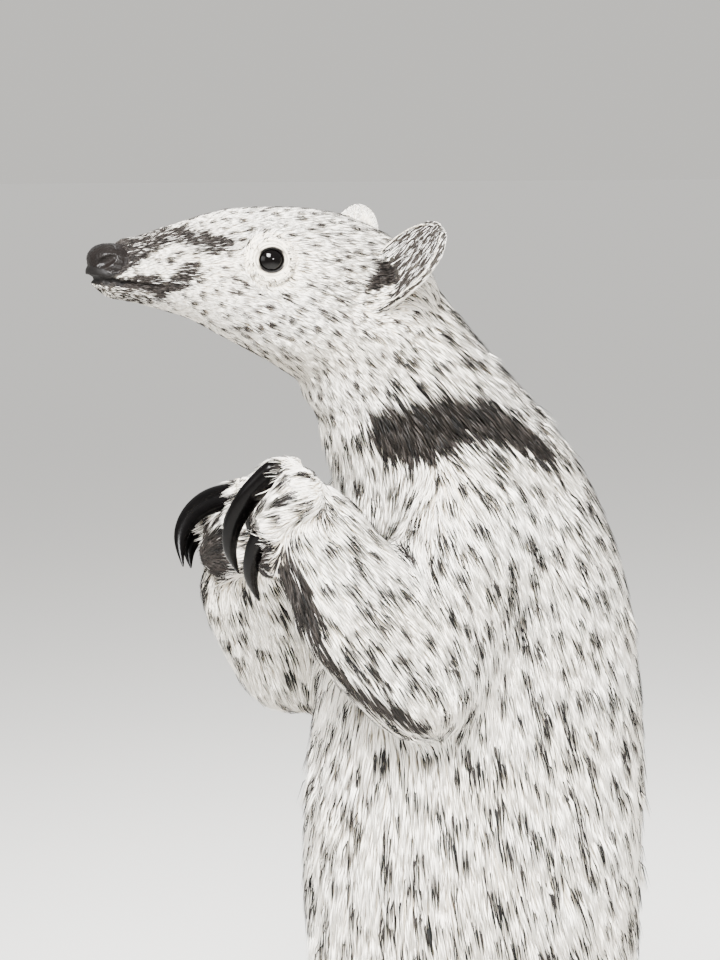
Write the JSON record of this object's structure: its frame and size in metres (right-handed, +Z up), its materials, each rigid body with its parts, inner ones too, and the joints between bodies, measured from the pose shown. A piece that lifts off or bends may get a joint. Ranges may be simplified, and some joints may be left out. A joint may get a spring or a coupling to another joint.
{
  "type": "southern tamandua",
  "caption": "Still life-size southern tamandua, a small tree anteater, sitting up on its hind feet and tail with hooked fore claws folded, pale coat with black shoulder bands.",
  "frame": {"origin": "centre of the bottom of the animal's bounding box, on the floor it rests on", "axes": "+Z up; the animal looks towards -Y and its tail runs back along +Y; +X is its own left side"},
  "size_m": [0.2072, 0.6376, 0.4882],
  "materials": {
    "coat": "short, coarse, flat-lying hair, pale cream with dark flecks and black bands",
    "nose_skin": "bare, moist, finely pebbled skin",
    "bare_skin": "bare or thinly haired scaly skin of the palms, soles and tail end, with dark blotches",
    "eye": "wet, glossy, almost black",
    "claw_horn": "hard horn with fine lengthwise ridges"
  },
  "bodies": {
    "root": {"belly": "coat", "chest": "coat", "ear_left": "coat", "ear_right": "coat", "eye_left": "eye", "eye_right": "eye", "foot_left": "coat", "foot_right": "coat", "fore_claw_1_left": "claw_horn", "fore_claw_1_right": "claw_horn", "fore_claw_2_left": "claw_horn", "fore_claw_2_right": "claw_horn", "fore_claw_3_left": "claw_horn", "fore_claw_3_right": "claw_horn", "fore_claw_4_left": "claw_horn", "fore_claw_4_right": "claw_horn", "forearm_left": "coat", "forearm_right": "coat", "hand_left": "coat", "hand_right": "coat", "head": "coat", "hind_claw_1_left": "claw_horn", "hind_claw_1_right": "claw_horn", "hind_claw_2_left": "claw_horn", "hind_claw_2_right": "claw_horn", "hind_claw_3_left": "claw_horn", "hind_claw_3_right": "claw_horn", "hind_claw_4_left": "claw_horn", "hind_claw_4_right": "claw_horn", "hind_claw_5_left": "claw_horn", "hind_claw_5_right": "claw_horn", "neck": "coat", "nose": "nose_skin", "rump": "coat", "shin_left": "coat", "shin_right": "coat", "tail_1": "coat", "tail_2": "coat", "tail_3": "bare_skin", "tail_4": "bare_skin", "thigh_left": "coat", "thigh_right": "coat", "upper_arm_left": "coat", "upper_arm_right": "coat"}
  },
  "joints": []
}
